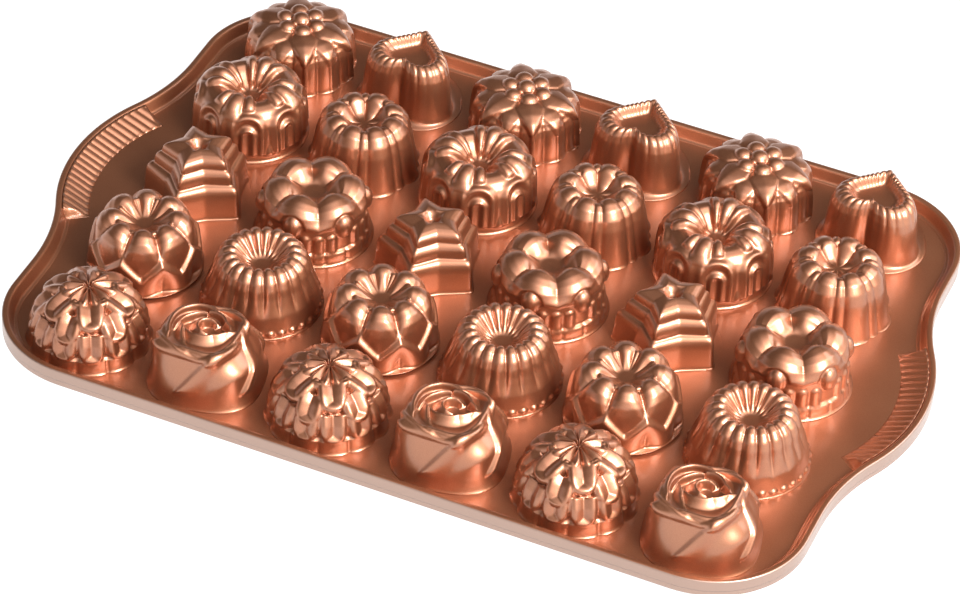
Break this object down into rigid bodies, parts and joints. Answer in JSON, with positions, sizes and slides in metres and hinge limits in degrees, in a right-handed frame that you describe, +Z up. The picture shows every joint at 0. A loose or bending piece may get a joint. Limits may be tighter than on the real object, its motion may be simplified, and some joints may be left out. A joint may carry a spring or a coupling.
{
  "type": "tea cake pan",
  "caption": "Cast tea cake pan lying cups up: a rimmed tray with bowed, ridged end handles and rows of small hollow sculpted cups, in a copper-toned satin coat.",
  "frame": {"origin": "middle of the tray on the plane that it lies on, the underside of the deck, where the cup mouths open", "axes": "+Z up out of the crowns of the cups, +X from handle to handle, +Y towards the row of flower and heart cups"},
  "size_m": [0.4006, 0.2756, 0.0318],
  "materials": {
    "tray_coat": "satin copper-toned metallic non-stick coat on cast aluminium",
    "cup_coat": "satin copper-toned metallic non-stick coat on cast aluminium, brighter on the edges"
  },
  "bodies": {
    "root": {"deck": "tray_coat", "rim": "tray_coat", "right_grip": "tray_coat", "left_grip": "tray_coat", "flower_cup_1": "cup_coat", "heart_cup_1": "cup_coat", "flower_cup_2": "cup_coat", "heart_cup_2": "cup_coat", "flower_cup_3": "cup_coat", "heart_cup_3": "cup_coat", "arched_cup_1": "cup_coat", "lobed_cup_1": "cup_coat", "arched_cup_2": "cup_coat", "lobed_cup_2": "cup_coat", "arched_cup_3": "cup_coat", "lobed_cup_3": "cup_coat", "star_cup_1": "cup_coat", "petalled_cup_1": "cup_coat", "star_cup_2": "cup_coat", "petalled_cup_2": "cup_coat", "star_cup_3": "cup_coat", "petalled_cup_3": "cup_coat", "gabled_cup_1": "cup_coat", "fluted_cup_1": "cup_coat", "gabled_cup_2": "cup_coat", "fluted_cup_2": "cup_coat", "gabled_cup_3": "cup_coat", "fluted_cup_3": "cup_coat", "dahlia_cup_1": "cup_coat", "rose_cup_1": "cup_coat", "dahlia_cup_2": "cup_coat", "rose_cup_2": "cup_coat", "dahlia_cup_3": "cup_coat", "rose_cup_3": "cup_coat"}
  },
  "joints": []
}
